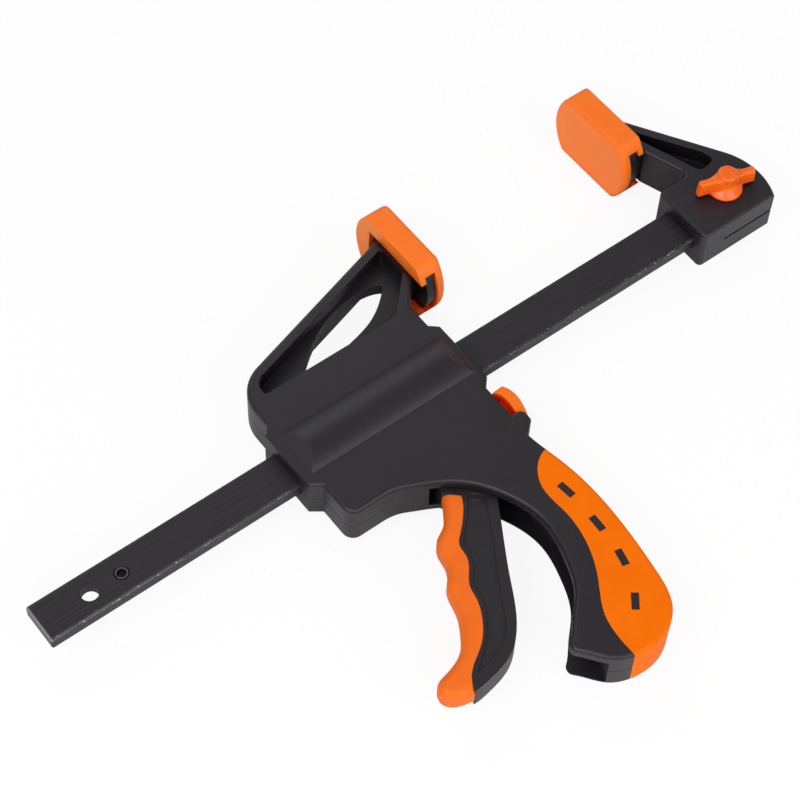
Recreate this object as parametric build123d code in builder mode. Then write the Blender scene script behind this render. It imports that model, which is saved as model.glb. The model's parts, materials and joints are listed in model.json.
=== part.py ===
from build123d import *
import os
from math import cos, radians, sin, tan

# Quick release ratchet bar clamp, in millimetres.
# X runs along the bar from its free end to the fixed jaw, Y points to the side
# where the jaws grip, and Z runs through the clamp's thickness.
# The origin is on the bar's centreline, at its free end and mid thickness.

os.makedirs("parts", exist_ok=True)

# ---------------------------------------------------------------- sizes
# Clearances
slide_gap = 0.3  # flat faces that slide past each other
seat_gap = 0.1  # pieces seated in a pocket
pin_gap = 0.05  # a pin in its bore, each side

# Bar and its stop pin
bar_length = 312.0
bar_width = 16.0
bar_thickness = 5.0
bar_round = 0.6  # its long edges
bar_chamfer = 0.4  # its free end
bar_hole_d = 6.4
bar_hole_x = 20.0  # from the free end
stop_pin_x = 32.6
stop_pin_d = 5.0
stop_pin_wall = 0.9
stop_pin_slot = 0.7
stop_pin_stand = 1.5  # how far it stands out below the bar
stop_pin_sunk = 0.1  # how far it ends below the upper face
stop_pin_rim = 0.3  # countersink round the pin

# Moving jaw body, two mirrored shells that meet at z = 0
body_rear = 103.3
body_front = 174.5
body_half = 9.25  # half thickness
body_low = -31.2  # the lower edge behind the trigger
edge_round = 1.5
seam = 0.2  # bevel on both shells where they meet
collar_reach = 2.9  # the rear collar round the bar stands out this far
front_collar_reach = 3.2
collar_wall = 4.7  # beside the bar
collar_slope = 3.1
collar_lean = 1.3  # the wall under the rear collar stands this far in
front_collar_drop = 0.8  # the front collar is this much wider each side
front_foot_high = 0.5
front_foot_low = 1.2
corner_round = 4.5
post_round = 1.5  # where the arm's front post meets the body
hump_round = 2.4
hump_low_round = 1.5
hump_reach = 4.5  # cheeks beside the release button
hump_top = -31.2
hump_low = -36.6
ridge_half = 9.9
ridge_rise = 3.4
ridge_radius = 16.0
ridge_facet = 5.0
ridge_inset = 0.7

# Arm of the moving jaw
arm_end = 182.5
arm_top = 58.0
arm_lean = 16.6  # degrees, its rear edge against the bar
arm_base = 36.7  # where the front post reaches the arm's end
arm_corner = 16.0
post_foot = 26.4
web_half = 2.5
rib = 4.0
rib_side = 7.0  # rear wall of the pocket
pocket_low = 26.0
pocket_post = 7.1
pocket_wall = 1.0

# Jaw heads and the caps that slip on them
neck_half = 8.2
neck_length = 3.1
head_half = 10.5
head_thickness = 3.8
head_near = 34.5
head_far = 59.5
head_bulge = 4.0
pad_half = 14.75
pad_near = 35.0
pad_far = 65.0
pad_bulge = 5.6
pad_front_wall = 3.6
pad_lip = 2.3
pad_corner = 2.5
pad_round = 2.0
pad_slot_end = 62.7

# Fixed jaw
bar_socket = 31.5  # length of the bar inside the jaw
jaw_depth = 37.9  # from its face to its back, along the bar
jaw_rake = 0.5  # the face leans back this far over the jaw's height
jaw_low = -13.2
jaw_shoulder = 13.1
jaw_back_high = 3.8  # the curved back comes in this far at the shoulder
jaw_back_low = 3.0  # and this far at the lower edge
jaw_half = 9.25
jaw_neck = 9.0  # the neck stands back from the face by this
jaw_neck_low = 31.4
jaw_elbow = 15.3  # the elbow stands back from the face by this
jaw_top = 53.5
jaw_round = 1.3
jaw_nose_round = 1.5
jaw_elbow_round = 2.5
jaw_foot_round = 2.0
jaw_slit = 1.0
jaw_slit_depth = 2.2
jaw_slit_start = 11.3  # from the face
jaw_pocket_edge = 1.5  # wall between the pocket and the neck's end
jaw_pocket_near = 4.6  # the pocket's low corners, from the elbow
jaw_pocket_far = 13.2
jaw_pocket_back = 11.2
jaw_pocket_round = 2.8
jaw_pocket_tip = 0.8

# Wing screw in the fixed jaw
screw_inset = 10.0  # from the bar's end
stud_d = 5.0
stud_low = -7.4
stud_in_hub = 5.0
thread_relief = 0.7
nut_across = 8.0
nut_height = 4.0
washer_d = 12.0
washer_thickness = 0.7
flange_d = 13.4
flange_rim = 0.9
flange_cone = 2.6
cone_top_d = 7.6
hub_d = 7.8
hub_top = 18.6
hub_dome = 1.1
hub_waist_d = 7.2
hub_waist = 14.4
wing_low = 9.9
wing_high = 17.2
wing_dip = 0.4  # the top edge dips by this beside the hub
wing_span = 12.0  # from the axis to a tip, at the lower edge
wing_lean = 0.8  # the tips lean in by this towards the top
wing_thickness = 2.8
wing_root = 5.6
wing_round = 0.8
wing_angle = -16.3

# Trigger
pivot_x = 146.0
pivot_y = -24.0
pivot_pin_d = 5.0
pivot_pin_half = 7.6
trigger_half = 5.0
trigger_side_gap = 0.4
trigger_boss_d = 13.0
nose_dx = -3.2
nose_dy = 11.4
nose_r = 2.0
trigger_round = 3.5
panel_depth = 0.5
mark_d = 3.4  # ejector marks in the panel
mark_depth = 0.15

# Drive plates and their spring
drive_plate = 3.0
drive_plates = 2
drive_half = 7.0
drive_top = 13.0
drive_low = -15.0
drive_travel = 4.0
plate_corner = 1.0
bar_play = 0.2  # between the bar and the plates' holes
spring_wire = 1.2
spring_play = 0.3  # between a spring and the bar's corners
drive_seat_x = 117.0
drive_turns = 7

# Lock plate, its spring and the release button
lock_x = 160.5
lock_pivot_y = 15.0
lock_above = 1.4
lock_plate_thickness = 3.0
lock_low = -27.0
lock_tilt = 5.0  # degrees, canted on the bar at rest
lock_half = 7.0
lock_play = 0.35
lock_seat_x = 150.0
lock_seat_wall = 2.5
lock_turns = 4
chamber_half = 7.4
chamber_room = 0.5
lock_chamber_rear = 157.0
lock_chamber_front = 168.5
lock_chamber_low = -32.0
button_half = 7.5
button_side_gap = 0.4
button_slot_low = -38.0
button_slot_top = -18.0
stem_half = 4.0

# Handle grips
grip_skin = 2.0
hollow_wall = 1.6  # the lower shell's wall under the handle's channel
hollow_top = -47.0  # where that deeper channel starts
grip_round = 3.4  # large rounding along the handle's back
grip_ease = 0.25  # how far that rounding stays clear of the side wall
window_width = 2.7
window_length = 6.4

# Shell screws
shell_screw_d = 2.8
shell_head_d = 5.6
shell_head_height = 2.0
shell_head_depth = 4.0
shell_screw_reach = 5.0
shell_screw_rear = 8.7  # the rear pair, from the body's rear
cross_width = 0.7
cross_length = 3.6
cross_depth = 1.0

# ------------------------------------------------------- derived values
jaw_nose = bar_length - bar_socket
jaw_back = jaw_nose + jaw_depth
jaw_neck_x = jaw_nose + jaw_neck
jaw_elbow_x = jaw_nose + jaw_elbow
screw_x = bar_length - screw_inset
bar_half_w = bar_width / 2
bar_half_t = bar_thickness / 2
slot_half_w = bar_half_w + slide_gap
slot_half_t = bar_half_t + slide_gap
collar_half = bar_half_w + collar_wall
collar_foot = collar_half + collar_slope
collar_rear = body_rear - collar_reach
collar_front = body_front + front_collar_reach
arm_rise = tan(radians(arm_lean))
rib_drop = rib / cos(radians(arm_lean))
arm_head_x = arm_end + neck_length
jaw_head_x = jaw_neck_x - neck_length
head_pocket = head_thickness + 2 * slide_gap
cap_depth = pad_front_wall + head_pocket + pad_lip
cap_stand = neck_length - slide_gap - pad_lip
channel_half = trigger_half + trigger_side_gap
drive_face = pivot_x + nose_dx - nose_r - slide_gap
drive_back = drive_face - drive_plates * drive_plate
spring_inner_r = Vector(bar_half_w, bar_half_t).length + spring_play
spring_mean_r = spring_inner_r + spring_wire / 2
spring_bore_r = spring_inner_r + spring_wire + slide_gap
lock_length = lock_pivot_y - lock_low
lock_lean = Vector(cos(radians(lock_tilt)), sin(radians(lock_tilt)))
ridge_centre = body_half + ridge_rise - ridge_radius
screw_wing = Vector(cos(radians(wing_angle)), sin(radians(wing_angle)))
beyond = 20.0  # cutting tools run past the part by this much


def arm_edge(x):
    """Distance of the arm's rear edge from the bar's centreline."""
    return arm_top + (x - arm_end) * arm_rise


def from_front(*points):
    """Points given from the body's front face."""
    return [(body_front + dx, y) for dx, y in points]


def from_pivot(*points):
    """Points given from the trigger's pivot."""
    return [(pivot_x + dx, pivot_y + dy) for dx, dy in points]


def draw_bowed(near, far, half, bulge):
    """Face with straight sides and bowed ends."""
    with BuildLine() as rim_line:
        Line((near, -half), (far, -half))
        ThreePointArc((far, -half), (far + bulge, 0), (far, half))
        Line((far, half), (near, half))
        ThreePointArc((near, half), (near - bulge, 0), (near, -half))
    make_face(rim_line.edges())


def draw_box(low_x, high_x, low_y, high_y, mode=Mode.ADD):
    """Rectangle between two corners."""
    with Locations(((low_x + high_x) / 2, (low_y + high_y) / 2)):
        Rectangle(high_x - low_x, high_y - low_y, mode=mode)


def spring_round_bar(start_x, end_x, turns):
    """Coil of round wire round the bar, its ends touching both seats."""
    run = end_x - start_x - spring_wire
    first = (start_x + spring_wire / 2, 0, 0)
    with BuildPart() as coil:
        with BuildLine():
            path = Helix(run / turns, run, spring_mean_r, center=first, direction=(1, 0, 0))
        with BuildSketch(Plane(origin=path @ 0, z_dir=path % 0)):
            Circle(spring_wire / 2)
        sweep()
    return coil.part


def write(piece, name):
    """Label one finished piece and write its STEP file."""
    piece.label = name
    export_step(piece, f"parts/{name}.step")


# ------------------------------------------------------------------ bar
with BuildPart() as bar:
    with BuildSketch():
        draw_box(0, bar_length, -bar_half_w, bar_half_w)
        with Locations((bar_hole_x, 0), (screw_x, 0)):
            Circle(bar_hole_d / 2, mode=Mode.SUBTRACT)
        with Locations((stop_pin_x, 0)):
            Circle(stop_pin_d / 2, mode=Mode.SUBTRACT)
    extrude(amount=bar_half_t, both=True)
    pin_rims = bar.edges().filter_by(GeomType.CIRCLE).filter_by(
        lambda edge: abs(edge.arc_center.X - stop_pin_x) < stop_pin_d
    )
    chamfer(pin_rims, length=stop_pin_rim)
    fillet(bar.edges().filter_by(Axis.X), radius=bar_round)
    end_face = bar.faces().sort_by(Axis.X)[0]
    chamfer(end_face.edges(), length=bar_chamfer)
write(bar.part, "bar")

with BuildPart() as stop_pin:
    with BuildSketch(Plane.XY.offset(-bar_half_t - stop_pin_stand)):
        with Locations((stop_pin_x, 0)):
            Circle(stop_pin_d / 2)
            Circle(stop_pin_d / 2 - stop_pin_wall, mode=Mode.SUBTRACT)
        with Locations((stop_pin_x - stop_pin_d / 2, 0)):
            Rectangle(stop_pin_d, stop_pin_slot, mode=Mode.SUBTRACT)
    extrude(amount=bar_thickness + stop_pin_stand - stop_pin_sunk)
write(stop_pin.part, "stop_pin")

# ------------------------------------------- moving jaw body, outline
handle_back = from_front(
    (-0.5, -41.0), (2.2, -57.0), (3.4, -70.0), (2.8, -86.8), (0.1, -107.2),
    (-4.8, -121.8), (-13.2, -127.8), (-24.4, -128.6), (-33.3, -124.9), (-40.9, -115.8),
)
handle_toe = from_front((-41.6, -113.3))
handle_palm = from_front(
    (-40.5, -111.6), (-34.3, -105.4), (-27.2, -98.2), (-21.1, -85.4), (-18.3, -70.8),
    (-22.8, -54.5), (-34.0, -40.4), (-45.3, -34.1), (-56.0, body_low),
)
outline_points = [
    handle_palm[-1],
    (body_rear + collar_lean, body_low),
    (body_rear + collar_lean, -collar_foot),
    (collar_rear, -collar_half),
    (collar_rear, collar_half),
    (body_rear, collar_foot),
    (body_rear, arm_edge(body_rear)),
    (arm_end, arm_top),
    (arm_end, arm_base),
    (body_front, post_foot),
    (body_front, collar_foot + front_foot_high),
    (collar_front, collar_half + front_collar_drop),
    (collar_front, -collar_half - front_collar_drop),
    (body_front, -collar_foot - front_foot_low),
    (body_front, hump_top),
    (body_front + hump_reach, hump_top),
    (body_front + hump_reach, hump_low),
    handle_back[0],
]
outline_rounds = [corner_round, 0, 0, 0, 0, arm_corner, 0, 0, post_round]
outline_rounds += [0, 0, 0, 0, 0, hump_round, hump_low_round]

with BuildSketch() as outline:
    with BuildLine():
        FilletPolyline(*outline_points, radius=outline_rounds)
        toe_arc = ThreePointArc(handle_back[-1], *handle_toe, handle_palm[0])
        back_curve = Spline(*handle_back, tangents=[(0.1, -1), toe_arc % 0])
        Spline(*handle_palm, tangents=[toe_arc % 1, (-1, 0)])
    make_face()


def beside(curve, position, distance):
    """Point beside a curve, on the left of its direction, at a share of its length."""
    return curve @ position + (curve % position).rotate(Axis.Z, 90) * distance


# the large rounding of the handle's back fades in below the release button:
# shares of the back's length, and how far the rounding stays clear of the back there
round_shares = [0, 0.15, 0.3, 0.5, 0.62, 0.75, 0.88, 1]
round_clear = [grip_round, 1.3, 0.4, grip_ease, grip_ease, grip_ease, grip_ease, 2 * grip_ease]
round_line = [
    beside(back_curve, share, clear) for share, clear in zip(round_shares, round_clear)
]
round_line += from_front((-42.6, -113.3))

with BuildPart() as handle_round:
    with BuildSketch():
        with BuildLine():
            round_arc = ThreePointArc(*round_line[:3])
            for point in round_line[3:]:
                round_arc = TangentArc(round_arc @ 1, point, tangent=round_arc % 1)
            Polyline(
                round_line[-1], *from_front((-120.0, -110.0), (-120.0, 100.0), (60.0, 100.0)),
                *from_front((60.0, -20.0)), round_line[0],
            )
        make_face()
    extrude(amount=body_half)
    upper = handle_round.edges().group_by(Axis.Z)[-1]
    fillet(upper.filter_by(GeomType.CIRCLE), radius=grip_round)

with BuildPart() as half_form:
    extrude(outline.sketch, amount=body_half)
    rim = half_form.faces().sort_by(Axis.Z)[-1].outer_wire().edges()
    fillet(rim, radius=edge_round)
    seam_rim = half_form.faces().sort_by(Axis.Z)[0].outer_wire().edges()
    chamfer(seam_rim, length=seam)
    add(handle_round.part, mode=Mode.INTERSECT)

# ------------------------------- arm pocket and the window in its web
pocket_rear = body_rear + rib_side
pocket_front = arm_end - pocket_wall
pocket_points = [
    (pocket_rear, pocket_low),
    (pocket_rear, arm_edge(pocket_rear) - rib_drop),
    (pocket_front, arm_edge(pocket_front) - rib_drop),
    (pocket_front, arm_base + rib - 0.3),
    (body_front - pocket_post, pocket_low),
]
with BuildSketch(Plane.XY.offset(web_half)) as pocket:
    with BuildLine():
        FilletPolyline(*pocket_points, radius=[1.2, 5.5, 1.5, 1.5, 1], close=True)
    make_face()

window_rear_tip, window_front_tip = from_front((-46.8, 28.2), (0.3, 43.6))
window_upper = from_front((-36.6, 37.0), (-24.0, 43.6), (-10.3, 46.1), (-3.0, 45.2))
window_lower = from_front((-4.4, 38.9), (-13.3, 33.2), (-24.5, 29.9), (-38.0, 27.6))
with BuildSketch() as window:
    with BuildLine():
        Spline(window_rear_tip, *window_upper, window_front_tip)
        Spline(window_front_tip, *window_lower, window_rear_tip)
    make_face()

# ------------------------------ trigger slot and channel in the handle
slot_points = from_front(
    (-40.2, -60.0), (-40.2, -20.0), (-37.0, -9.5), (-27.0, -9.5), (-20.0, -18.0),
    (-18.5, -30.0), (-12.6, -43.0), (-11.2, -50.0),
)
channel_back = from_front(
    (-11.2, -50.0), (-13.6, -61.0), (-13.7, -72.0), (-15.0, -84.0), (-18.2, -93.0),
    (-23.0, -102.0), (-28.5, -110.5), (-32.0, -118.0), (-34.5, -126.0),
)
channel_mouth = from_front((-45.0, -135.0), (-75.0, -90.0))
with BuildSketch() as channel:
    with BuildLine():
        Polyline(*slot_points)
        Spline(*channel_back)
        Polyline(channel_back[-1], *channel_mouth, slot_points[0])
    make_face()

# ------------------------------------- ridge over the bar, and arm head
ridge_rear = body_rear + ridge_inset
ridge_front = body_front + ridge_inset
with BuildPart() as ridge:
    with BuildSketch(Plane.XZ.offset(-ridge_half)):
        with BuildLine():
            Polyline(
                (ridge_rear, 0), (ridge_rear, body_half),
                (ridge_rear + ridge_facet, body_half + ridge_rise),
                (ridge_front - ridge_facet, body_half + ridge_rise),
                (ridge_front, body_half), (ridge_front, 0), close=True,
            )
        make_face()
    extrude(amount=2 * ridge_half)
    with BuildSketch(Plane.YZ):
        with Locations((0, ridge_centre)):
            Circle(ridge_radius)
    extrude(amount=ridge_front + beyond, mode=Mode.INTERSECT)

with BuildPart() as arm_head:
    with BuildSketch(Plane.YZ.offset(arm_end)):
        draw_box(arm_base + edge_round, arm_top - edge_round, 0, neck_half)
    extrude(amount=neck_length)
    with BuildSketch(Plane.YZ.offset(arm_head_x)):
        draw_bowed(head_near, head_far, head_half, head_bulge)
    extrude(amount=head_thickness)
    split(bisect_by=Plane.XY, keep=Keep.TOP)

# --------------------------------------------- orange grip, upper half
grip_edge = from_front(
    (0.9, -49.2), (-6.5, -53.2), (-10.6, -61.0), (-10.5, -72.6), (-11.3, -82.0),
    (-17.9, -98.7), (-25.2, -111.0), (-26.8, -119.0), (-26.5, -130.0),
)
with BuildSketch() as grip_zone:
    with BuildLine():
        Spline(*grip_edge)
        Polyline(grip_edge[-1], *from_front((beyond, -130.0), (beyond, -49.2)), grip_edge[0])
    make_face()

# the shell's core under the grip follows the handle's back one skin inside it
inset_steps = 12
core_back = [
    beside(back_curve, step / inset_steps, -grip_skin) for step in range(inset_steps + 1)
]
with BuildSketch() as core_zone:
    with BuildLine():
        Spline(*core_back)
        Polyline(core_back[-1], *from_front((-80.0, -100.0), (-80.0, -41.0)), core_back[0])
    make_face()

window_places = from_front((-4.6, -66.3), (-4.6, -82.7), (-6.5, -97.7), (-13.8, -113.0))
window_turns = [5.8, -2.6, -13.6, -37.6]
with BuildSketch(Plane.XY) as grip_windows:
    for place, turn in zip(window_places, window_turns):
        with Locations(Location((*place, 0), turn)):
            Rectangle(window_width, window_length)

with BuildPart() as upper_grip:
    add(half_form.part)
    extrude(grip_zone.sketch, amount=body_half, mode=Mode.INTERSECT)
    extrude(core_zone.sketch, amount=body_half - grip_skin, mode=Mode.SUBTRACT)
    extrude(grip_windows.sketch, amount=body_half, mode=Mode.SUBTRACT)
write(upper_grip.part, "upper_grip")

# --------------------------------------------------- shell, upper half
with BuildPart() as shell_half:
    add(half_form.part)
    add(ridge.part)
    add(arm_head.part)
    extrude(pocket.sketch, amount=body_half, mode=Mode.SUBTRACT)
    extrude(window.sketch, amount=body_half, mode=Mode.SUBTRACT)
    add(upper_grip.part, mode=Mode.SUBTRACT)
    # bar slot from end to end
    with BuildSketch():
        draw_box(collar_rear - beyond, collar_front + beyond, -slot_half_w, slot_half_w)
    extrude(amount=slot_half_t, mode=Mode.SUBTRACT)
    # bores for the two springs
    for bore_start, bore_end in [(drive_seat_x, drive_back), (lock_seat_x, lock_x)]:
        with BuildSketch(Plane.YZ.offset(bore_start)):
            Circle(spring_bore_r)
        extrude(amount=bore_end - bore_start, mode=Mode.SUBTRACT)
    # drive chamber and lock chamber
    with BuildSketch():
        draw_box(
            drive_back - drive_travel - slide_gap, lock_seat_x - lock_seat_wall,
            drive_low - slide_gap - chamber_room, drive_top + slide_gap + chamber_room,
        )
        draw_box(
            lock_chamber_rear, lock_chamber_front,
            lock_chamber_low, lock_pivot_y + lock_above + slide_gap,
        )
    extrude(amount=chamber_half, mode=Mode.SUBTRACT)
    # slot for the release button, trigger slot and handle channel
    with BuildSketch():
        draw_box(
            lock_chamber_front - chamber_room, collar_front + beyond,
            button_slot_low, button_slot_top,
        )
    extrude(amount=button_half + button_side_gap, mode=Mode.SUBTRACT)
    extrude(channel.sketch, amount=channel_half, mode=Mode.SUBTRACT)
    # blind seat of the trigger's pivot pin
    with BuildSketch():
        with Locations((pivot_x, pivot_y)):
            Circle(pivot_pin_d / 2 + pin_gap)
    extrude(amount=pivot_pin_half + seat_gap, mode=Mode.SUBTRACT)

screw_rear = body_rear + shell_screw_rear
screw_places = [(screw_rear, -22.8), (screw_rear, 21.0)]
screw_places += from_front((-24.0, 20.5), (-5.0, 21.2), (-5.2, -44.5), (-18.5, -120.5))
head_seat = -body_half + shell_head_depth

with BuildPart() as upper_shell:
    add(shell_half.part)
    with BuildSketch():
        with Locations(*screw_places):
            Circle(shell_screw_d / 2 + pin_gap)
    extrude(amount=shell_screw_reach + seat_gap, mode=Mode.SUBTRACT)
write(upper_shell.part, "upper_shell")

with BuildPart() as screw_holes:
    with BuildSketch():
        with Locations(*screw_places):
            Circle(shell_screw_d / 2 + pin_gap)
    extrude(amount=-body_half)
    with BuildSketch(Plane.XY.offset(head_seat)):
        with Locations(*screw_places):
            Circle(shell_head_d / 2 + slide_gap)
    extrude(amount=-body_half)

with BuildSketch(Plane.XY.offset(-channel_half)) as handle_hollow:
    add(channel.sketch.moved(Location((0, 0, -channel_half))))
    draw_box(
        body_rear - beyond, body_front, 2 * handle_back[-1][1], hollow_top, mode=Mode.INTERSECT
    )

with BuildPart() as lower_shell:
    add(mirror(shell_half.part, about=Plane.XY))
    extrude(
        handle_hollow.sketch, amount=channel_half + hollow_wall - body_half, mode=Mode.SUBTRACT
    )
    add(screw_holes.part, mode=Mode.SUBTRACT)
write(lower_shell.part, "lower_shell")

with BuildPart() as lower_grip:
    add(mirror(upper_grip.part, about=Plane.XY))
    add(screw_holes.part, mode=Mode.SUBTRACT)
write(lower_grip.part, "lower_grip")

for number, place in enumerate(screw_places, start=1):
    with BuildPart() as shell_screw:
        with BuildSketch(Plane.XY.offset(head_seat)):
            with Locations(place):
                Circle(shell_head_d / 2)
        extrude(amount=-shell_head_height)
        with BuildSketch(Plane.XY.offset(head_seat)):
            with Locations(place):
                Circle(shell_screw_d / 2)
        extrude(amount=shell_screw_reach - head_seat)
        with BuildSketch(Plane.XY.offset(head_seat - shell_head_height)):
            with Locations(place):
                Rectangle(cross_length, cross_width)
                Rectangle(cross_width, cross_length)
        extrude(amount=cross_depth, mode=Mode.SUBTRACT)
    write(shell_screw.part, f"shell_screw_{number}")


# ---------------------------------------------------------- jaw caps
def jaw_cap(back_x, facing):
    """Soft cap that slips on a jaw's head, its lips at back_x."""

    def across(depth):
        return Plane(origin=(back_x + facing * depth, 0, 0), x_dir=(0, 1, 0), z_dir=(facing, 0, 0))

    with BuildPart() as cap:
        with BuildSketch(across(0)) as face:
            draw_bowed(pad_near, pad_far, pad_half, pad_bulge)
            fillet(face.vertices(), radius=pad_corner)
        extrude(amount=cap_depth)
        front = cap.faces().sort_by(Axis.X, reverse=facing < 0)[-1]
        fillet(front.edges(), radius=pad_round)
        with BuildSketch(across(pad_lip)):
            draw_bowed(0, head_far + slide_gap, head_half + slide_gap, head_bulge)
        extrude(amount=head_pocket, mode=Mode.SUBTRACT)
        with BuildSketch(across(0)):
            draw_box(0, pad_slot_end, -neck_half - slide_gap, neck_half + slide_gap)
        extrude(amount=pad_lip, mode=Mode.SUBTRACT)
    return cap.part


write(jaw_cap(arm_end + cap_stand, 1), "moving_jaw_cap")
write(jaw_cap(jaw_neck_x - cap_stand, -1), "fixed_jaw_cap")

# ---------------------------------------------------------- fixed jaw
jaw_pocket = [
    (jaw_neck_x + jaw_pocket_edge, 38.6), (jaw_elbow_x + jaw_pocket_near, 11.6),
    (jaw_elbow_x + jaw_pocket_far, 12.6), (jaw_elbow_x + jaw_pocket_back, 18.6),
    (jaw_neck_x + jaw_pocket_edge, 43.6),
]
jaw_pocket_rounds = [
    jaw_pocket_tip, jaw_pocket_round, jaw_pocket_round, jaw_pocket_round, jaw_pocket_tip,
]

with BuildPart() as fixed_jaw:
    with BuildSketch():
        with BuildLine():
            back_low = (jaw_back - jaw_back_low, jaw_low)
            back_high = (jaw_back - jaw_back_high, jaw_shoulder)
            ThreePointArc(back_low, (jaw_back, jaw_low / 8), back_high)
            FilletPolyline(
                back_high, (jaw_neck_x, jaw_top), (jaw_neck_x, jaw_neck_low),
                (jaw_elbow_x, jaw_shoulder), (jaw_nose + jaw_rake, jaw_shoulder),
                (jaw_nose, jaw_low), back_low,
                radius=[jaw_round, 0, jaw_elbow_round, jaw_nose_round, jaw_foot_round],
            )
        make_face()
    extrude(amount=jaw_half, both=True)
    rims = fixed_jaw.edges().filter_by(Plane.XY)
    fillet(rims, radius=jaw_round)
    # head for the cap
    with BuildSketch(Plane.YZ.offset(jaw_neck_x)):
        draw_box(jaw_neck_low + jaw_round, jaw_top - jaw_round, -neck_half, neck_half)
    extrude(amount=-neck_length)
    with BuildSketch(Plane.YZ.offset(jaw_head_x)):
        draw_bowed(head_near, head_far, head_half, head_bulge)
    extrude(amount=-head_thickness)
    # tapered pocket on both sides
    for side in (1, -1):
        with BuildSketch(Plane.XY.offset(side * web_half)):
            with BuildLine():
                FilletPolyline(*jaw_pocket, radius=jaw_pocket_rounds, close=True)
            make_face()
        extrude(amount=side * jaw_half, mode=Mode.SUBTRACT)
    # socket for the bar
    with BuildSketch():
        draw_box(
            jaw_nose - beyond, bar_length + seat_gap,
            -bar_half_w - seat_gap, bar_half_w + seat_gap,
        )
    extrude(amount=bar_half_t + seat_gap, both=True, mode=Mode.SUBTRACT)
    # clamping slit in the near face
    with BuildSketch():
        draw_box(
            jaw_nose + jaw_slit_start, jaw_back + beyond,
            jaw_low - beyond, jaw_low + jaw_slit_depth,
        )
    extrude(amount=jaw_slit / 2, both=True, mode=Mode.SUBTRACT)
    # screw hole, washer recess on top and nut pocket below
    with BuildSketch():
        with Locations((screw_x, 0)):
            Circle(stud_d / 2 + slide_gap)
    extrude(amount=jaw_half, both=True, mode=Mode.SUBTRACT)
    with BuildSketch(Plane.XY.offset(jaw_half)):
        with Locations((screw_x, 0)):
            Circle(washer_d / 2 + slide_gap)
    extrude(amount=-washer_thickness - seat_gap, mode=Mode.SUBTRACT)
    with BuildSketch(Plane.XY.offset(-jaw_half)):
        with Locations((screw_x, 0)):
            RegularPolygon(nut_across / 2 + seat_gap, 6, major_radius=False)
    extrude(amount=nut_height + seat_gap, mode=Mode.SUBTRACT)
write(fixed_jaw.part, "fixed_jaw")

with BuildPart() as jaw_nut:
    with BuildSketch(Plane.XY.offset(-jaw_half)):
        with Locations((screw_x, 0)):
            RegularPolygon(nut_across / 2, 6, major_radius=False)
            Circle(stud_d / 2 + pin_gap, mode=Mode.SUBTRACT)
    extrude(amount=nut_height)
write(jaw_nut.part, "jaw_nut")

with BuildPart() as screw_washer:
    with BuildSketch(Plane.XY.offset(jaw_half - washer_thickness)):
        with Locations((screw_x, 0)):
            Circle(washer_d / 2)
            Circle(stud_d / 2 + pin_gap, mode=Mode.SUBTRACT)
    extrude(amount=washer_thickness)
write(screw_washer.part, "screw_washer")

# ---------------------------------------------------------- wing screw
flange_low = jaw_half + seat_gap
flange_high = flange_low + flange_rim
hub_r = hub_d / 2
stud_high = hub_top - stud_in_hub

wing_plane = Plane(origin=(screw_x, 0, 0), x_dir=screw_wing, z_dir=(0, 0, 1))
wing_side = Plane(origin=(screw_x, 0, 0), x_dir=screw_wing, z_dir=(screw_wing.Y, -screw_wing.X, 0))
wing_crest = [
    (wing_span - wing_lean, wing_high), (0.62 * wing_span, wing_high - wing_dip),
    (hub_r, wing_high), (-hub_r, wing_high),
    (-0.62 * wing_span, wing_high - wing_dip), (wing_lean - wing_span, wing_high),
]
# in plan both wings widen smoothly into the hub
wing_flank = [
    (wing_span, wing_thickness / 2), (0.68 * wing_span, wing_thickness / 2),
    (0.46 * wing_span, 0.3 * wing_root), (0.28 * wing_span, wing_root / 2),
]
with BuildPart() as wings:
    with BuildSketch(wing_side):
        with BuildLine():
            Polyline(wing_crest[-1], (-wing_span, wing_low), (wing_span, wing_low), wing_crest[0])
            Spline(*wing_crest)
        make_face()
    extrude(amount=wing_root, both=True)
    with BuildSketch(wing_plane):
        with BuildLine():
            for turn_x, turn_y in [(1, 1), (1, -1), (-1, 1), (-1, -1)]:
                Spline(*[(turn_x * x, turn_y * y) for x, y in wing_flank])
            for side in (1, -1):
                far_x, far_y = wing_flank[0]
                Line((side * far_x, far_y), (side * far_x, -far_y))
                near_x, near_y = wing_flank[-1]
                Line((near_x, side * near_y), (-near_x, side * near_y))
        make_face()
    extrude(amount=2 * wing_high, mode=Mode.INTERSECT)
    fillet(wings.edges(), radius=wing_round)

hub_profile = [
    (hub_r, hub_top - hub_dome), (hub_waist_d / 2, hub_waist),
    (cone_top_d / 2, flange_high + flange_cone),
]
with BuildPart() as wing_knob:
    with BuildSketch(Plane.XZ):
        with BuildLine():
            Polyline(
                (screw_x, hub_top), (screw_x, flange_low), (screw_x + flange_d / 2, flange_low),
                (screw_x + flange_d / 2, flange_high), (screw_x + hub_profile[-1][0], hub_profile[-1][1]),
            )
            Spline(*[(screw_x + radius, level) for radius, level in reversed(hub_profile)])
            ThreePointArc(
                (screw_x + hub_r, hub_top - hub_dome),
                (screw_x + hub_r - 0.3 * hub_dome, hub_top - 0.3 * hub_dome),
                (screw_x + hub_r - hub_dome, hub_top),
            )
            Line((screw_x + hub_r - hub_dome, hub_top), (screw_x, hub_top))
        make_face()
    revolve(axis=Axis((screw_x, 0, 0), (0, 0, 1)))
    add(wings.part)
    with BuildSketch(Plane.XY.offset(flange_low)):
        with Locations((screw_x, 0)):
            Circle(stud_d / 2 + pin_gap)
    extrude(amount=stud_high + seat_gap - flange_low, mode=Mode.SUBTRACT)
write(wing_knob.part, "wing_knob")

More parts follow.
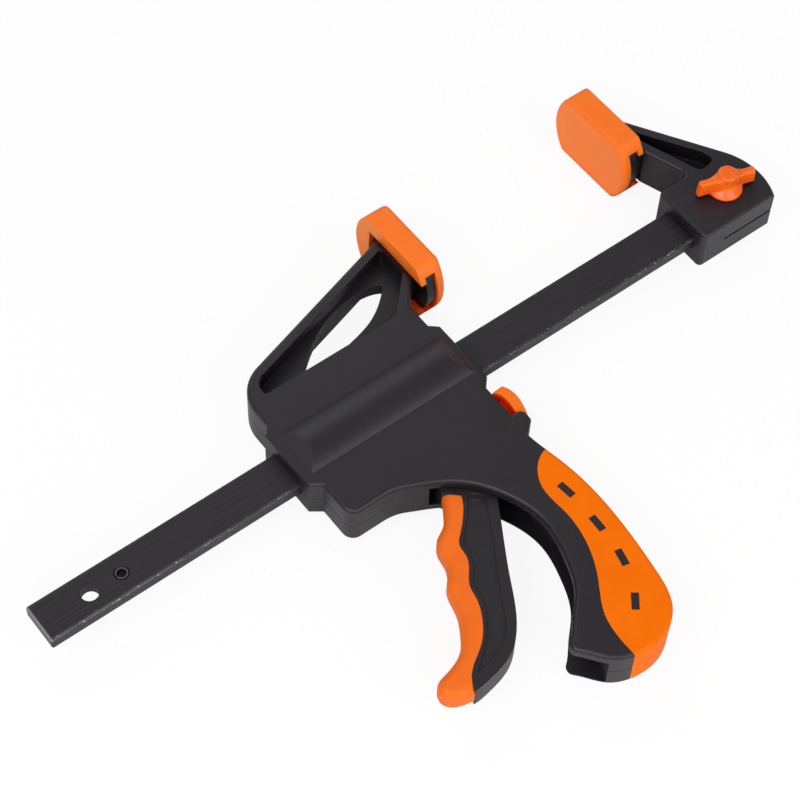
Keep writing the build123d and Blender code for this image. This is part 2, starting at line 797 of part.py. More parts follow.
with BuildPart() as wing_stud:
    with BuildSketch(Plane.XY.offset(stud_low)):
        with Locations((screw_x, 0)):
            Circle(stud_d / 2)
    extrude(amount=stud_high - stud_low)
    chamfer(wing_stud.edges().group_by(Axis.Z)[0], length=thread_relief)
write(wing_stud.part, "wing_stud")

# ------------------------------------------------------------- trigger
blade_edge = from_pivot(
    (-8.3, -13.0), (-9.4, -16.6), (-12.0, -20.9), (-16.7, -26.2), (-21.2, -28.9),
    (-23.2, -32.0), (-24.2, -37.0), (-26.4, -41.5), (-29.7, -45.3), (-31.1, -49.2),
    (-32.2, -53.6), (-35.9, -60.6), (-41.2, -66.8), (-49.8, -70.2), (-54.3, -71.8),
    (-56.0, -75.6), (-54.4, -78.8), (-50.6, -80.8), (-45.6, -81.7), (-39.5, -81.1),
    (-29.0, -78.2), (-20.8, -71.2), (-10.6, -54.7), (0.2, -36.8), (5.0, -28.9),
)
trigger_neck = from_pivot((5.0, -28.9), (3.6, -24.3), (3.4, -2.0), (-8.3, -2.0), (-8.3, -13.0))
with BuildSketch() as trigger_blade:
    with BuildLine():
        Spline(*blade_edge)
        Polyline(*trigger_neck)
    make_face()

grip_split = from_pivot(
    (-4.6, -21.0), (-8.7, -27.3), (-14.1, -32.6), (-17.0, -35.8), (-17.8, -40.5),
    (-20.0, -44.8), (-24.0, -50.3), (-25.0, -54.6), (-28.2, -62.2), (-35.0, -70.0),
    (-43.2, -75.7), (-45.6, -79.0), (-46.4, -86.0),
)
split_outside = from_pivot((-46.4, -90.0), (-70.0, -90.0), (-70.0, -10.0), (-12.0, -13.9))
with BuildSketch() as trigger_grip_zone:
    with BuildLine():
        Spline(*grip_split)
        Polyline(grip_split[-1], *split_outside, grip_split[0])
    make_face()

with BuildPart() as trigger_grip:
    with BuildSketch():
        add(trigger_blade.sketch)
        add(trigger_grip_zone.sketch, mode=Mode.INTERSECT)
    extrude(amount=trigger_half, both=True)
    for level in (0, -1):
        outer = trigger_grip.edges().filter_by(Plane.XY).group_by(Axis.Z)[level]
        fillet(outer.sort_by(SortBy.LENGTH)[-1], radius=trigger_round)
write(trigger_grip.part, "trigger_grip")

panel_front = from_pivot(
    (-2.4, -21.2), (-8.2, -28.8), (-12.3, -32.8), (-15.4, -36.4), (-16.4, -41.5),
    (-18.9, -46.0), (-22.4, -50.6), (-23.4, -55.0), (-26.6, -62.5), (-33.5, -70.5),
    (-41.9, -76.8),
)
panel_back = from_pivot(
    (-41.9, -76.8), (-34.3, -76.0), (-26.2, -72.0), (-19.4, -62.2), (-9.1, -45.1),
    (-0.5, -30.7), (2.3, -25.4),
)
mark_places = from_pivot((-2.6, -26.2), (-28.3, -69.0))
with BuildSketch() as panel:
    with BuildLine():
        Spline(*panel_front)
        Spline(*panel_back)
        Line(panel_back[-1], panel_front[0])
    make_face()

nose_arm = from_pivot(
    (nose_dx - nose_r, nose_dy), (nose_dx + nose_r, nose_dy), (5.0, 3.5),
    (-6.2, 1.5), (nose_dx - nose_r, nose_dy / 2 + 1.3),
)
with BuildPart() as trigger_core:
    with BuildSketch():
        add(trigger_blade.sketch)
        add(trigger_grip_zone.sketch, mode=Mode.SUBTRACT)
        with Locations((pivot_x, pivot_y)):
            Circle(trigger_boss_d / 2)
        with BuildLine():
            Polyline(*nose_arm, close=True)
        make_face()
        with Locations((pivot_x + nose_dx, pivot_y + nose_dy)):
            Circle(nose_r)
        with Locations((pivot_x, pivot_y)):
            Circle(pivot_pin_d / 2 + pin_gap, mode=Mode.SUBTRACT)
    extrude(amount=trigger_half, both=True)
    for side in (1, -1):
        panel_level = side * (trigger_half - panel_depth)
        with BuildSketch(Plane.XY.offset(panel_level)):
            add(panel.sketch)
        extrude(amount=side * panel_depth, mode=Mode.SUBTRACT)
        with BuildSketch(Plane.XY.offset(panel_level)):
            with Locations(*mark_places):
                Circle(mark_d / 2)
        extrude(amount=-side * mark_depth, mode=Mode.SUBTRACT)
write(trigger_core.part, "trigger_core")

with BuildPart() as trigger_pin:
    with BuildSketch():
        with Locations((pivot_x, pivot_y)):
            Circle(pivot_pin_d / 2)
    extrude(amount=pivot_pin_half, both=True)
write(trigger_pin.part, "trigger_pin")

# ----------------------------------------- drive plates and their spring
for number in range(drive_plates):
    with BuildPart() as plate:
        with BuildSketch(Plane.YZ.offset(drive_face - number * drive_plate)) as blank:
            draw_box(drive_low, drive_top, -drive_half, drive_half)
            fillet(blank.vertices(), radius=plate_corner)
            Rectangle(
                bar_width + 2 * bar_play, bar_thickness + 2 * bar_play, mode=Mode.SUBTRACT
            )
        extrude(amount=-drive_plate)
    write(plate.part, f"drive_plate_{number + 1}")

write(spring_round_bar(drive_seat_x, drive_back, drive_turns), "drive_spring")

# ------------------------- lock plate, its spring and the release button
lock_plane = Plane(
    origin=(lock_x, lock_pivot_y, 0),
    x_dir=(lock_lean.Y, -lock_lean.X, 0),
    z_dir=(lock_lean.X, lock_lean.Y, 0),
)
with BuildPart() as lock_plate:
    with BuildSketch(lock_plane) as blank:
        draw_box(-lock_above, lock_length, -lock_half, lock_half)
        fillet(blank.vertices(), radius=plate_corner)
        with Locations((lock_pivot_y, 0)):
            Rectangle(
                bar_width + 2 * lock_play, bar_thickness + 2 * bar_play, mode=Mode.SUBTRACT
            )
    extrude(amount=lock_plate_thickness / 2, both=True)
write(lock_plate.part, "lock_plate")

lock_spring_end = lock_x - lock_plate_thickness / 2 + (lock_pivot_y - spring_mean_r) * lock_lean.Y
write(spring_round_bar(lock_seat_x, lock_spring_end, lock_turns), "lock_spring")

button_outer = from_front((5.2, -19.3), (6.9, -23.6), (6.4, -29.5), (4.6, -35.0))
button_inner = from_front((1.2, -35.0), (2.3, -30.6), (2.9, -26.0), (2.4, -21.6), (0.7, -19.6))
button_stem = [
    *from_front((3.8, -22.0), (3.0, -29.5), (-8.0, -30.3)),
    (lock_x + 1.1, lock_low - 3.2), (lock_x + 1.1, lock_low + 3.5), *from_front((-8.0, -23.5)),
]
with BuildPart() as release_button:
    with BuildSketch():
        with BuildLine():
            Spline(*button_outer)
            Line(button_outer[-1], button_inner[0])
            Spline(*button_inner)
            Line(button_inner[-1], button_outer[0])
        make_face()
    extrude(amount=button_half, both=True)
    with BuildSketch():
        with BuildLine():
            Polyline(*button_stem, close=True)
        make_face()
    extrude(amount=stem_half, both=True)
    add(lock_plate.part, mode=Mode.SUBTRACT)
write(release_button.part, "release_button")
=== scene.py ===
import json
import math

import bpy
from mathutils import Matrix, Vector


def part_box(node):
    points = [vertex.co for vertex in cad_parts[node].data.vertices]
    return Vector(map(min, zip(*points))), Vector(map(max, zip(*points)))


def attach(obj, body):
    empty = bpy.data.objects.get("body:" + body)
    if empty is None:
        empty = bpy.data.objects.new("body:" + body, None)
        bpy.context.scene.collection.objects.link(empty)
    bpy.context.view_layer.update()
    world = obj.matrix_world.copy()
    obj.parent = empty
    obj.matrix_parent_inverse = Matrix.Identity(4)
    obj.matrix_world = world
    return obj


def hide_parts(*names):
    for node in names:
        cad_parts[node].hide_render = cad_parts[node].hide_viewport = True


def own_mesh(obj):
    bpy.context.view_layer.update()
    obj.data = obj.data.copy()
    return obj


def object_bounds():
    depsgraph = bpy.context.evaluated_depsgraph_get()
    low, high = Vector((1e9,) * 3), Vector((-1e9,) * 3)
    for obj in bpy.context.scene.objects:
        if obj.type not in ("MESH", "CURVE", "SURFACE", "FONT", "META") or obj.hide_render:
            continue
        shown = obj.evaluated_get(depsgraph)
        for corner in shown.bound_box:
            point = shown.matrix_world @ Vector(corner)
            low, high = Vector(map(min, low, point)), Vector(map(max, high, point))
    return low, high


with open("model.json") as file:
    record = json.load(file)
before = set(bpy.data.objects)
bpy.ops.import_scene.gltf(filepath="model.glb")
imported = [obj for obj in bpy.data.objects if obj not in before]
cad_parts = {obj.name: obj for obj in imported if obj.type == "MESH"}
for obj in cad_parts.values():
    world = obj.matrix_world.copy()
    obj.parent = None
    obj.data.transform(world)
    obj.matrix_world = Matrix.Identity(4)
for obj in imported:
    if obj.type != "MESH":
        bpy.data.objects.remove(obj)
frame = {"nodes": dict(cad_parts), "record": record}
cad_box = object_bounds()
nodes = frame["nodes"]
scene = bpy.context.scene

# Sizes and places are in millimetres in the row frame, colours are linear.
MM = 0.001

# ------------------------------------------------------ sizes of the clamp
BAR_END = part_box("bar")[1]
BAR_HALF_WIDTH = BAR_END[1] / MM
BAR_HALF_THICKNESS = BAR_END[2] / MM
MOUNTS = {mount["name"]: mount for mount in frame["record"]["mounts"]}
BAR_HOLE_X = MOUNTS["bar_hole"]["pos_m"][0] / MM
BAR_HOLE_RADIUS = MOUNTS["bar_hole"]["dims"]["r_mm"]
PIN_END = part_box("stop_pin")[1]
STOP_PIN_RADIUS = PIN_END[1] / MM
STOP_PIN_X = PIN_END[0] / MM - STOP_PIN_RADIUS
STOP_PIN_BORE_RADIUS = 1.6

# -------------------------------------------------------- sizes of the looks

# Radii of the edges that only the shading rounds.
RUBBER_EDGE = 0.4
STEEL_EDGE = 0.2

# Remeshing of the wing knob.
KNOB_CELL = 0.2
KNOB_BLEND_STEPS = 34

# How the bar is worn, and where its edges carry a painted highlight: depths are counted from its
# outer faces.
EDGE_BAND_ACROSS = 1.3
EDGE_BAND_DOWN = 0.8
EDGE_BAND_FULL = 0.1
FAR_EDGE_SHARE = 0.25
MOST_HANDLED_X = 45.0
LEAST_HANDLED_X = 130.0
END_LINE_FULL_X = 0.2
END_LINE_GONE_X = 0.9

# ------------------------------------------- camera, lamps and background
# The camera is solved from the photograph.
CAMERA_PLACE = Vector((-128.98, -337.98, 657.29)) * MM
CAMERA_AZIMUTH = math.radians(-39.4936)
CAMERA_ELEVATION = math.radians(56.2290)
CAMERA_ROLL = math.radians(2.5535)
FOCAL_PIXELS = 2237.12
FRAME_PIXELS = 800
SENSOR_MM = 36.0
SEEN_DEPTH = 10_000.0

# Lamps, each with its place and its width, in metres, and its power in watts.
LAMPS = {
    "key": ((-0.9, -0.2, 1.3), 0.9, 13.0),
    "fill": ((0.4, -1.3, 0.75), 1.1, 10.5),
    "front": ((-0.5, -0.8, 0.75), 0.5, 2.6),
    "back": ((0.5, 1.1, 0.9), 0.9, 3.0),
}
CLAMP_MIDDLE = Vector((160.0, -30.0, 0.0)) * MM
FLOOR_SIZE = 6000.0
FLOOR_DROP = 0.1
FLOOR_GREY = 0.88
FLOOR_GLOW = 0.9
ROOM_STRENGTH = 0.40
WHITE = (1.0, 1.0, 1.0)
BORE_SHADE_BLACK = (0.0, 0.0, 0.0)

# ----------------------------------------------------- colours and textures
# Moulded and rubber colours come in pairs, the darker and the lighter tone.
# Each colour named with SHADE is a painted shade, which corners and cavities of that material
# turn to.
CHARCOAL = (0.0110, 0.0089, 0.0124), (0.0140, 0.0116, 0.0156)
CHARCOAL_SHADE = (0.002, 0.0015, 0.002)
KNOB_ORANGE = (0.81, 0.124, 0.001), (0.87, 0.139, 0.002)
KNOB_SHADE_RED = (0.90, 0.022, 0.0)
BUTTON_ORANGE = (0.83, 0.158, 0.004), (0.89, 0.174, 0.005)
BUTTON_SHADE_RED = (1.0, 0.016, 0.0)
CAP_ORANGE = (0.87, 0.169, 0.009), (0.92, 0.184, 0.011)
CAP_FACE_ORANGE = (0.93, 0.213, 0.026)
CAP_SHADE_RED = (0.86, 0.030, 0.0)
GRIP_ORANGE = (0.79, 0.138, 0.0005), (0.85, 0.154, 0.001)
TRIGGER_ORANGE = (0.77, 0.133, 0.007), (0.83, 0.146, 0.010)
ZINC = (0.42, 0.42, 0.43), (0.58, 0.58, 0.58)
BAR_BLACK = (0.0090, 0.0073, 0.0098), (0.0230, 0.0198, 0.0246)
BAR_SCRATCH = (0.066, 0.062, 0.070)
# Rubbed tone of the bar's edges, partly worn metal and partly a painted highlight.
BAR_RUBBED_AND_HIGHLIT = (0.105, 0.103, 0.118)
BAR_CHIP = (0.36, 0.38, 0.42)
BAR_END_LINE = (0.26, 0.255, 0.28)
# Painted shade in the rims round the bar's hole and round the pin.
BAR_HOLE_SHADE = (0.003, 0.003, 0.003)
PIN_GAP_SHADE = (0.002, 0.002, 0.002)
PIN_RING = (0.082, 0.078, 0.086)

# Noise scales, in cells per metre.
PLASTIC_GRAIN = 2600.0
PLASTIC_FLOW = 45.0
RUBBER_GRAIN = 3200.0
RUBBER_CLOUD = 60.0
CAP_SPECKLE = 1500.0
STEEL_GRAIN = 1400.0
BAR_STREAKS = 2400.0
BAR_PATCHES = 190.0
BAR_SPECKS = 1100.0
BAR_BLOTCH = 35.0
NOISE_LOW = 0.3
NOISE_HIGH = 0.7

# Rays and limits of the shader nodes that look at the shape round a point.
CAVITY_RAYS = 8
CAVITY_CLOSED = 0.2
CAVITY_OPEN = 0.9
EDGE_RAYS = 6


# ---------------------------------------------------------------- camera
def make_camera():
    """Camera at the photograph's place, looking along its axis."""
    az, el, roll = CAMERA_AZIMUTH, CAMERA_ELEVATION, CAMERA_ROLL
    back = Vector((math.sin(az) * math.cos(el), -math.cos(az) * math.cos(el), math.sin(el)))
    level = Vector((math.cos(az), math.sin(az), 0.0))
    rise = back.cross(level)
    right = level * math.cos(roll) + rise * math.sin(roll)
    up = rise * math.cos(roll) - level * math.sin(roll)
    data = bpy.data.cameras.new("camera")
    data.sensor_width = SENSOR_MM
    data.lens = FOCAL_PIXELS / FRAME_PIXELS * SENSOR_MM
    data.clip_end = SEEN_DEPTH * MM
    camera = bpy.data.objects.new("camera", data)
    turn = Matrix((right, up, back)).transposed().to_4x4()
    camera.matrix_world = Matrix.Translation(CAMERA_PLACE) @ turn
    scene.collection.objects.link(camera)
    scene.camera = camera


make_camera()


# --------------------------------------------------------- shader helpers
def new_material(name):
    """Empty node material and its tree."""
    material = bpy.data.materials.new(name)
    material.use_nodes = True
    material.node_tree.nodes.clear()
    return material, material.node_tree


def node(tree, kind, **values):
    """New shader node with its settings and socket defaults."""
    made = tree.nodes.new(kind)
    for key, value in values.items():
        if hasattr(made, key):
            setattr(made, key, value)
        else:
            made.inputs[key.replace("_", " ")].default_value = value
    return made


def noise(tree, place, scale, detail=3.0, roughness=0.5):
    """Noise texture over the given coordinates."""
    texture = node(tree, "ShaderNodeTexNoise", Scale=scale, Detail=detail, Roughness=roughness)
    tree.links.new(place, texture.inputs["Vector"])
    return texture.outputs["Fac"]


def ramp(tree, value, low, high, first, last):
    """Maps value from low..high to first..last."""
    mapped = node(tree, "ShaderNodeMapRange")
    mapped.inputs["From Min"].default_value = low
    mapped.inputs["From Max"].default_value = high
    mapped.inputs["To Min"].default_value = first
    mapped.inputs["To Max"].default_value = last
    tree.links.new(value, mapped.inputs["Value"])
    return mapped.outputs["Result"]


def ramp_mm(tree, length, low_mm, high_mm, first, last):
    """Maps a length, with its limits in millimetres."""
    return ramp(tree, length, low_mm * MM, high_mm * MM, first, last)


def spread(tree, value, first=0.0, last=1.0):
    """Maps the used middle part of a noise to first..last."""
    return ramp(tree, value, NOISE_LOW, NOISE_HIGH, first, last)


def opaque(colour):
    """The colour with full alpha, as a socket takes it."""
    return (*colour, 1.0)


def mix_colour(tree, factor, first, second):
    """Mixes two colours, given as values or sockets."""
    mixed = node(tree, "ShaderNodeMix", data_type="RGBA")
    tree.links.new(factor, mixed.inputs["Factor"])
    for socket, colour in ((mixed.inputs[6], first), (mixed.inputs[7], second)):
        if isinstance(colour, bpy.types.NodeSocket):
            tree.links.new(colour, socket)
        else:
            socket.default_value = opaque(colour)
    return mixed.outputs[2]


def product(tree, first, second):
    """Product of two values."""
    times = node(tree, "ShaderNodeMath", operation="MULTIPLY")
    tree.links.new(first, times.inputs[0])
    tree.links.new(second, times.inputs[1])
    return times.outputs[0]


def size_of(tree, value):
    """Absolute value."""
    positive = node(tree, "ShaderNodeMath", operation="ABSOLUTE")
    tree.links.new(value, positive.inputs[0])
    return positive.outputs[0]


def place_of(tree, stretch=(1.0, 1.0, 1.0)):
    """Object coordinates in metres, scaled along each axis."""
    place = node(tree, "ShaderNodeTexCoord")
    mapping = node(tree, "ShaderNodeMapping", Scale=stretch)
    tree.links.new(place.outputs["Object"], mapping.inputs["Vector"])
    return mapping.outputs["Vector"]


def distance_from(tree, x_mm):
    """Distance from an upright axis that crosses the bar's centreline."""
    flat = node(tree, "ShaderNodeMapping", Location=(-x_mm * MM, 0.0, 0.0), Scale=(1.0, 1.0, 0.0))
    tree.links.new(place_of(tree), flat.inputs["Vector"])
    length = node(tree, "ShaderNodeVectorMath", operation="LENGTH")
    tree.links.new(flat.outputs["Vector"], length.inputs[0])
    return length.outputs["Value"]


def with_cavity_shade(tree, colour, reach_mm, shade_colour, share):
    """The colour with painted shade, turning to the shade colour in narrow corners and cavities.
    """
    open_share = node(
        tree, "ShaderNodeAmbientOcclusion", samples=CAVITY_RAYS, Distance=reach_mm * MM,
    )
    closed = ramp(tree, open_share.outputs["AO"], CAVITY_CLOSED, CAVITY_OPEN, share, 0.0)
    return mix_colour(tree, closed, colour, shade_colour)


def surface(tree, edge_mm, height, strength, depth_mm):
    """Normal with softened edges and a fine bump."""
    soft = node(tree, "ShaderNodeBevel", samples=EDGE_RAYS, Radius=edge_mm * MM)
    bump = node(tree, "ShaderNodeBump", Strength=strength, Distance=depth_mm * MM)
    tree.links.new(height, bump.inputs["Height"])
    tree.links.new(soft.outputs["Normal"], bump.inputs["Normal"])
    return bump.outputs["Normal"]


def finish_material(tree, colour, rough, normal, **settings):
    """Principled shader with the given sockets, linked to the output."""
    shader = node(tree, "ShaderNodeBsdfPrincipled")
    for key, value in settings.items():
        shader.inputs[key.replace("_", " ")].default_value = value
    tree.links.new(colour, shader.inputs["Base Color"])
    tree.links.new(rough, shader.inputs["Roughness"])
    tree.links.new(normal, shader.inputs["Normal"])
    output = node(tree, "ShaderNodeOutputMaterial")
    tree.links.new(shader.outputs["BSDF"], output.inputs["Surface"])


# ------------------------------------------------------ plastics and rubbers
def moulded_plastic(
    name, tones, roughness, shade_colour, reach_mm, edge_mm=0.35, gloss=0.5, **more
):
    """Moulded nylon with a fine spark-eroded grain, faint flow marks and painted shade in corners
    and cavities.
    """
    material, tree = new_material(name)
    place = place_of(tree)
    grain = noise(tree, place, PLASTIC_GRAIN, detail=2.0)
    flow = noise(tree, place, PLASTIC_FLOW, detail=4.0, roughness=0.6)
    colour = mix_colour(tree, spread(tree, flow), *tones)
    # Painted shade: corners and cavities turn to the shade colour.
    colour = with_cavity_shade(tree, colour, reach_mm, shade_colour, share=0.95)
    rough = spread(tree, grain, roughness - 0.05, roughness + 0.07)
    normal = surface(tree, edge_mm, grain, strength=0.4, depth_mm=0.06)
    finish_material(tree, colour, rough, normal, Specular_IOR_Level=gloss, **more)
    return material


def rubber_tones(tree, tones):
    """Coordinates, fine grain and slightly uneven colour of the rubbers."""
    place = place_of(tree)
    grain = noise(tree, place, RUBBER_GRAIN, detail=2.0)
    cloud = noise(tree, place, RUBBER_CLOUD, detail=3.0, roughness=0.55)
    return place, grain, mix_colour(tree, spread(tree, cloud), *tones)


def grip_rubber(name, tones, gloss):
    """Satin over-moulded rubber with a very fine matt grain."""
    material, tree = new_material(name)
    _, grain, colour = rubber_tones(tree, tones)
    rough = spread(tree, grain, 0.46, 0.56)
    normal = surface(tree, RUBBER_EDGE, grain, strength=0.12, depth_mm=0.05)
    finish_material(tree, colour, rough, normal, Specular_IOR_Level=gloss)
    return material


def cap_rubber(name):
    """Satin rubber of the slip-on caps, paler and grainier on the flat pressing faces, with
    painted red shade in corners and hollows.
    """
    material, tree = new_material(name)
    place, grain, colour = rubber_tones(tree, CAP_ORANGE)
    facing = node(tree, "ShaderNodeSeparateXYZ")
    tree.links.new(node(tree, "ShaderNodeNewGeometry").outputs["True Normal"], facing.inputs[0])
    pressing = ramp(tree, size_of(tree, facing.outputs["X"]), 0.90, 0.99, 0.0, 1.0)
    specks = noise(tree, place, CAP_SPECKLE, detail=3.0, roughness=0.6)
    speckle = ramp(tree, specks, 0.35, 0.65, 0.75, 1.0)
    paler = mix_colour(tree, product(tree, pressing, speckle), colour, CAP_FACE_ORANGE)
    rough = spread(tree, grain, 0.42, 0.54)
    normal = surface(tree, RUBBER_EDGE, grain, strength=0.14, depth_mm=0.05)
    # Painted shade: corners and hollows of the caps turn to a deep red.
    with_red_shade = with_cavity_shade(tree, paler, reach_mm=6.0, shade_colour=CAP_SHADE_RED, share=0.9)
    finish_material(
        tree, with_red_shade, rough, normal, Specular_IOR_Level=0.28,
        Subsurface_Weight=0.4, Subsurface_Radius=(1.0, 0.24, 0.06), Subsurface_Scale=3.5 * MM,
    )
    return material


# ----------------------------------------------------------------- metals
def near_outside(tree, offset, half_size, band_depth):
    """0 inside the bar, 1 at its outer faces across the given axis."""
    return ramp_mm(
        tree, size_of(tree, offset), half_size - band_depth, half_size - EDGE_BAND_FULL, 0.0, 1.0,
    )


def with_rim_shade(tree, colour, x_mm, full_radius, gone_radius, share, rim_shade_colour):
    """The colour with a painted shade rim round a hole, which fades between the two radii."""
    rim_shade = ramp_mm(tree, distance_from(tree, x_mm), full_radius, gone_radius, share, 0.0)
    return mix_colour(tree, rim_shade, colour, rim_shade_colour)


def blackened_bar(name):
    """Blackened steel bar: fine lengthwise rolling marks, its edges worn in places and partly lit
    by a painted highlight, and painted shade round its hole and the pin.
    """
    material, tree = new_material(name)
    axes = node(tree, "ShaderNodeSeparateXYZ")
    tree.links.new(place_of(tree), axes.inputs[0])
    streaks = noise(tree, place_of(tree, (0.02, 1.0, 1.0)), BAR_STREAKS, 4.0, 0.7)
    patches = noise(tree, place_of(tree, (0.4, 1.0, 1.0)), BAR_PATCHES, 4.0, 0.6)
    specks = noise(tree, place_of(tree, (0.6, 1.0, 1.0)), BAR_SPECKS, 2.0, 0.5)
    blotch = noise(tree, place_of(tree), BAR_BLOTCH)
    colour = mix_colour(tree, ramp(tree, streaks, 0.30, 0.72, 0.0, 1.0), *BAR_BLACK)

    # Light scratches along the bar, in patches.
    bright_streaks = ramp(tree, streaks, 0.60, 0.72, 0.0, 0.9)
    scratches = product(tree, bright_streaks, ramp(tree, patches, 0.48, 0.60, 0.0, 1.0))
    colour = mix_colour(tree, scratches, colour, BAR_SCRATCH)

    # Edges rubbed towards the free end, most on the handle's side, with small bright chips; the
    # rubbed tone is partly a painted highlight along these edges.
    near_side = near_outside(tree, axes.outputs["Y"], BAR_HALF_WIDTH, EDGE_BAND_ACROSS)
    near_face = near_outside(tree, axes.outputs["Z"], BAR_HALF_THICKNESS, EDGE_BAND_DOWN)
    handle_side = ramp_mm(tree, axes.outputs["Y"], -1.0, 1.0, 1.0, FAR_EDGE_SHARE)
    edge = product(tree, product(tree, near_side, near_face), handle_side)
    handled = ramp_mm(tree, axes.outputs["X"], MOST_HANDLED_X, LEAST_HANDLED_X, 1.0, 0.5)
    in_patches = ramp(tree, patches, 0.34, 0.60, 0.10, 0.9)
    colour = mix_colour(
        tree, product(tree, product(tree, edge, handled), in_patches), colour, BAR_RUBBED_AND_HIGHLIT,
    )
    chips = product(tree, edge, ramp(tree, specks, 0.62, 0.67, 0.0, 0.9))
    colour = mix_colour(tree, chips, colour, BAR_CHIP)

    # Light lines along the end face at its top and bottom edges, and painted shade in rims round
    # the hole and the pin.
    at_end = ramp_mm(tree, axes.outputs["X"], END_LINE_FULL_X, END_LINE_GONE_X, 0.95, 0.0)
    colour = mix_colour(tree, product(tree, at_end, near_face), colour, BAR_END_LINE)
    colour = with_rim_shade(
        tree, colour, BAR_HOLE_X, BAR_HOLE_RADIUS + 0.1, BAR_HOLE_RADIUS + 0.4,
        0.85, BAR_HOLE_SHADE,
    )
    colour = with_rim_shade(
        tree, colour, STOP_PIN_X, STOP_PIN_RADIUS + 0.3, STOP_PIN_RADIUS + 0.5,
        0.95, PIN_GAP_SHADE,
    )
    rough = spread(tree, blotch, 0.40, 0.50)
    normal = surface(tree, STEEL_EDGE, streaks, strength=0.3, depth_mm=0.05)
    finish_material(tree, colour, rough, normal, Specular_IOR_Level=0.35)
    return material


def spring_pin(name):
    """Blackened rolled pin, bare on the rim of its end, with painted shade inside its bore and at
    the rim's outer edge.
    """
    material, tree = new_material(name)
    grain = noise(tree, place_of(tree), STEEL_GRAIN)
    from_axis = distance_from(tree, STOP_PIN_X)
    past_bore = ramp_mm(
        tree, from_axis, STOP_PIN_BORE_RADIUS + 0.04, STOP_PIN_BORE_RADIUS + 0.16, 0.0, 1.0,
    )
    within_edge = ramp_mm(
        tree, from_axis, STOP_PIN_RADIUS - 0.40, STOP_PIN_RADIUS - 0.15, 1.0, 0.12,
    )
    # Painted shade: black in the bore, and darkening towards the rim's outer edge at the gap.
    colour = mix_colour(tree, product(tree, past_bore, within_edge), BORE_SHADE_BLACK, PIN_RING)
    rough = spread(tree, grain, 0.36, 0.48)
    normal = surface(tree, STEEL_EDGE, grain, strength=0.1, depth_mm=0.02)
    finish_material(tree, colour, rough, normal, Specular_IOR_Level=0.06)
    return material


def bright_steel(name):
    """Zinc plated steel of the small hardware."""
    material, tree = new_material(name)
    grain = noise(tree, place_of(tree), STEEL_GRAIN)
    colour = mix_colour(tree, grain, *ZINC)
    rough = spread(tree, grain, 0.26, 0.42)
    normal = surface(tree, 0.15, grain, strength=0.1, depth_mm=0.02)
    finish_material(tree, colour, rough, normal, Metallic=1.0)
    return material


# ------------------------------------------------------- materials in place
BY_SLOT = {
    "charcoal_plastic": moulded_plastic(
        "charcoal_plastic", CHARCOAL, 0.42, CHARCOAL_SHADE, reach_mm=14.0, gloss=0.42,
    ),
    "orange_rubber": cap_rubber("cap_rubber"),
    "orange_plastic": moulded_plastic(
        "orange_plastic", KNOB_ORANGE, 0.26, KNOB_SHADE_RED, reach_mm=6.0, edge_mm=0.6, gloss=0.35,
        Coat_Weight=0.22, Coat_Roughness=0.14,
        Subsurface_Weight=0.2, Subsurface_Radius=(1.0, 0.22, 0.06), Subsurface_Scale=2.0 * MM,
    ),
    "black_steel": blackened_bar("black_steel"),
    "plain_steel": bright_steel("plain_steel"),
}
handle_rubber = grip_rubber("grip_rubber", GRIP_ORANGE, gloss=0.06)
BY_NODE = {
    "upper_grip": handle_rubber,
    "lower_grip": handle_rubber,
    "trigger_grip": grip_rubber("trigger_rubber", TRIGGER_ORANGE, gloss=0.2),
    "stop_pin": spring_pin("spring_pin"),
    "release_button": moulded_plastic(
        "button_plastic", BUTTON_ORANGE, 0.36, BUTTON_SHADE_RED, reach_mm=14.0, edge_mm=0.5,
        gloss=0.25,
        Subsurface_Weight=0.3, Subsurface_Radius=(1.0, 0.12, 0.02), Subsurface_Scale=3.0 * MM,
    ),
}


def dress_nodes():
    """Every CAD node takes its own material, or the one of its slot in the record."""
    for subpart in frame["record"]["subparts"]:
        name = subpart["node"]
        mesh = nodes[name].data
        mesh.materials.clear()
        mesh.materials.append(BY_NODE.get(name) or BY_SLOT[subpart["material_slot"]])


dress_nodes()


# ---------------------------------------------------------------- wing knob
def moulded_knob():
    """The wing knob with its inner corners and crests blended as in one moulding."""
    piece = bpy.data.objects.new("moulded_knob", nodes["wing_knob"].data.copy())
    scene.collection.objects.link(piece)
    cells = piece.modifiers.new("cells", "REMESH")
    cells.mode = "VOXEL"
    cells.voxel_size = KNOB_CELL * MM
    blend = piece.modifiers.new("blend", "SMOOTH")
    blend.factor = 0.5
    blend.iterations = KNOB_BLEND_STEPS
    bpy.context.view_layer.update()
    shaped = bpy.data.meshes.new_from_object(
        piece.evaluated_get(bpy.context.evaluated_depsgraph_get())
    )
    piece.modifiers.clear()
    piece.data = shaped
    shaped.shade_smooth()
    shaped.materials.clear()
    shaped.materials.append(BY_SLOT["orange_plastic"])
    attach(piece, "wing_screw")
    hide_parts("wing_knob")


moulded_knob()


# ------------------------------------------------------------------ springs
def spring_of(node_name):
    """Copy of the coil spring, carried with the moving jaw in place of its CAD node."""
    piece = bpy.data.objects.new("short_" + node_name, nodes[node_name].data.copy())
    scene.collection.objects.link(piece)
    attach(piece, "moving_jaw")
    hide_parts(node_name)
    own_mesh(piece)


spring_of("drive_spring")
spring_of("lock_spring")


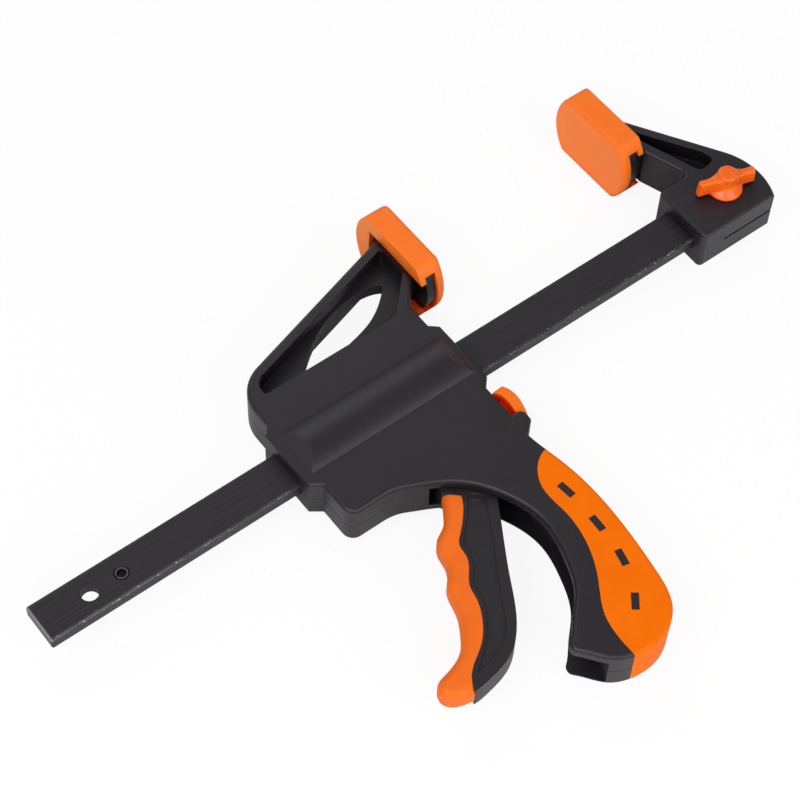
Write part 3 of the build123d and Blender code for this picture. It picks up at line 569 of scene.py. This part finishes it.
# ------------------------------------------------- floor, light, background
def make_floor():
    """Pale floor just under the clamp. It shows white and keeps a soft shadow."""
    low = cad_box[0][2] - FLOOR_DROP * MM
    bpy.ops.mesh.primitive_plane_add(size=FLOOR_SIZE * MM, location=(CLAMP_MIDDLE.x, 0.0, low))
    floor = bpy.context.object
    floor.name = "floor"
    material, tree = new_material("floor")
    matt = node(tree, "ShaderNodeBsdfDiffuse", Color=opaque([FLOOR_GREY] * 3))
    glow = node(tree, "ShaderNodeEmission", Color=opaque(WHITE), Strength=1.0)
    ray = node(tree, "ShaderNodeLightPath")
    share = node(tree, "ShaderNodeMath", operation="MULTIPLY")
    share.inputs[1].default_value = FLOOR_GLOW
    mixed = node(tree, "ShaderNodeMixShader")
    output = node(tree, "ShaderNodeOutputMaterial")
    tree.links.new(ray.outputs["Is Camera Ray"], share.inputs[0])
    tree.links.new(share.outputs[0], mixed.inputs[0])
    tree.links.new(matt.outputs[0], mixed.inputs[1])
    tree.links.new(glow.outputs[0], mixed.inputs[2])
    tree.links.new(mixed.outputs[0], output.inputs["Surface"])
    floor.data.materials.append(material)


def make_world():
    """Even soft light from all round, which looks white to the camera."""
    world = bpy.data.worlds.new("studio")
    world.use_nodes = True
    tree = world.node_tree
    tree.nodes.clear()
    room = node(tree, "ShaderNodeBackground", Color=opaque(WHITE), Strength=ROOM_STRENGTH)
    white = node(tree, "ShaderNodeBackground", Color=opaque(WHITE), Strength=1.0)
    ray = node(tree, "ShaderNodeLightPath")
    mixed = node(tree, "ShaderNodeMixShader")
    output = node(tree, "ShaderNodeOutputWorld")
    tree.links.new(ray.outputs["Is Camera Ray"], mixed.inputs[0])
    tree.links.new(room.outputs[0], mixed.inputs[1])
    tree.links.new(white.outputs[0], mixed.inputs[2])
    tree.links.new(mixed.outputs[0], output.inputs["Surface"])
    scene.world = world


def soft_light(name, place, size, watts):
    """Square area light that looks at the middle of the clamp."""
    data = bpy.data.lights.new(name, "AREA")
    data.size = size
    data.energy = watts
    light = bpy.data.objects.new(name, data)
    light.location = place
    aim = CLAMP_MIDDLE - Vector(place)
    light.rotation_euler = aim.to_track_quat("-Z", "Y").to_euler()
    scene.collection.objects.link(light)


make_floor()
make_world()
for lamp_name, (lamp_place, lamp_size, lamp_watts) in LAMPS.items():
    soft_light(lamp_name, lamp_place, lamp_size, lamp_watts)

scene.view_settings.view_transform = "Standard"
